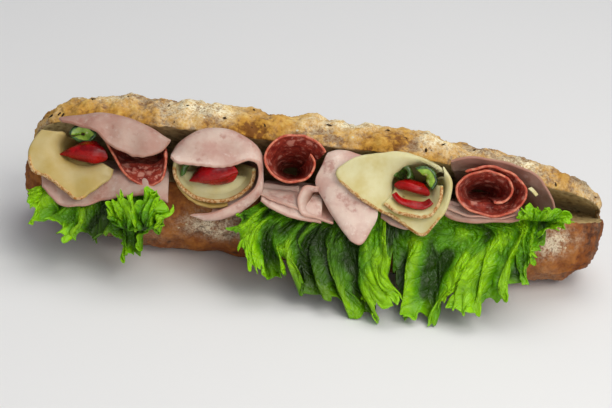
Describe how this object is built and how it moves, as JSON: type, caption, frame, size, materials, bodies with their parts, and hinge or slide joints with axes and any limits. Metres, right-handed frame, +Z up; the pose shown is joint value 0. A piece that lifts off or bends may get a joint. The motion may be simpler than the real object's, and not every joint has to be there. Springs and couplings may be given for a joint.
{
  "type": "baguette sandwich",
  "caption": "Filled baguette on its side edge, lid tilted open, with rolled ham, cheese and salami, peppers, cucumber and lettuce hanging out in front.",
  "frame": {"origin": "middle of the flat spot under the loaf, on the surface that it lies on", "axes": "+X along the loaf, +Z up, the open mouth with its filling faces -Y"},
  "size_m": [0.297, 0.112, 0.0762],
  "materials": {
    "base_crust": "baked bread crust, brown, with flour",
    "lid_crust": "baked bread crust, golden, with flour and dark crags",
    "salami": "moist, marbled with fat",
    "cheese": "smooth and slightly oily, with an orange rind",
    "pepper": "wet and glossy",
    "cucumber": "moist flesh with a dark green skin",
    "ham": "moist, with darker blotches",
    "lettuce": "waxy leaf with veins"
  },
  "bodies": {
    "root": {"bread_base": "base_crust", "bread_lid": "lid_crust", "salami_middle": "salami", "salami_right": "salami", "salami_left": "salami", "cheese_left": "cheese", "cheese_middle": "cheese", "cheese_right_outer": "cheese", "cheese_right_inner": "cheese", "pepper_strip": "pepper", "pepper_left": "pepper", "pepper_middle": "pepper", "pepper_right": "pepper", "cucumber_left": "cucumber", "cucumber_left_inner": "cucumber", "cucumber_middle": "cucumber", "cucumber_right": "cucumber", "cucumber_right_ring": "cucumber", "ham_wrap": "ham", "ham_flap_left": "ham", "ham_fold": "ham", "ham_arch": "ham", "ham_curl": "ham", "ham_under_left": "ham", "ham_under_middle": "ham", "ham_under_fold": "ham", "ham_under_right": "ham", "lettuce_left": "lettuce", "lettuce_frill": "lettuce", "lettuce_middle": "lettuce", "lettuce_right": "lettuce"}
  },
  "joints": []
}
